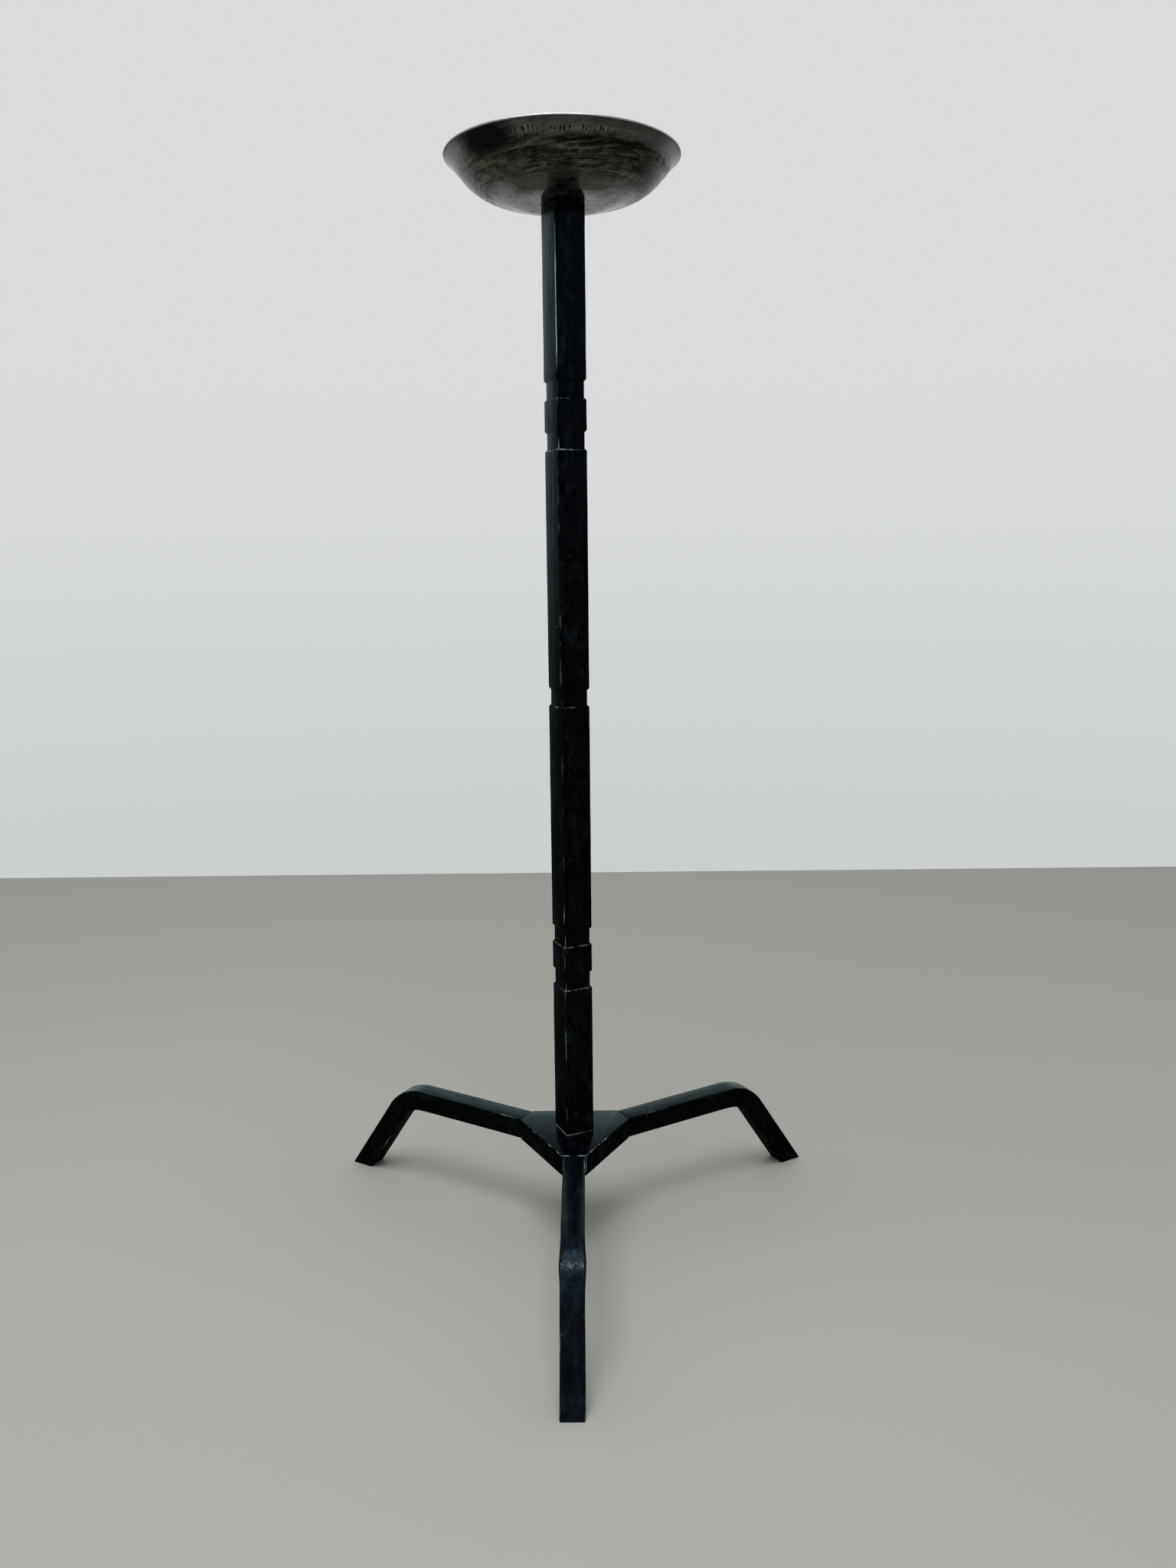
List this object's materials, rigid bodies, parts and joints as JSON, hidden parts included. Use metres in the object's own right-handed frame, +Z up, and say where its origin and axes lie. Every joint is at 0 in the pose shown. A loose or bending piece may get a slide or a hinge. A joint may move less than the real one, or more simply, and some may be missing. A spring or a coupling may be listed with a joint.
{
  "type": "pricket candlestick",
  "caption": "Floor-standing pricket candlestick: notched square bar on a three-cornered plate with bent square legs, and a shallow flared drip bowl with a spike on top.",
  "frame": {"origin": "on the floor, under the stem's axis", "axes": "+Z up along the stem, the front leg points along -Y, +X to the right seen from the front"},
  "size_m": [0.483, 0.4185, 0.99],
  "materials": {
    "black_iron": "satin black paint over forged bar, worn on the edges",
    "bowl_steel": "bare spun steel with a dark blotchy patina",
    "spike_steel": "turned steel, dulled",
    "fastener_steel": "zinc-plated steel"
  },
  "bodies": {
    "root": {"stem_bar": "black_iron", "base_plate": "black_iron", "leg_front": "black_iron", "leg_right": "black_iron", "leg_left": "black_iron", "leg_stud_front": "fastener_steel", "leg_stud_right": "fastener_steel", "leg_stud_left": "fastener_steel", "stem_bolt": "fastener_steel", "stem_bolt_washer": "fastener_steel", "drip_bowl": "bowl_steel", "pricket_washer": "spike_steel", "pricket_spike": "spike_steel"}
  },
  "joints": []
}
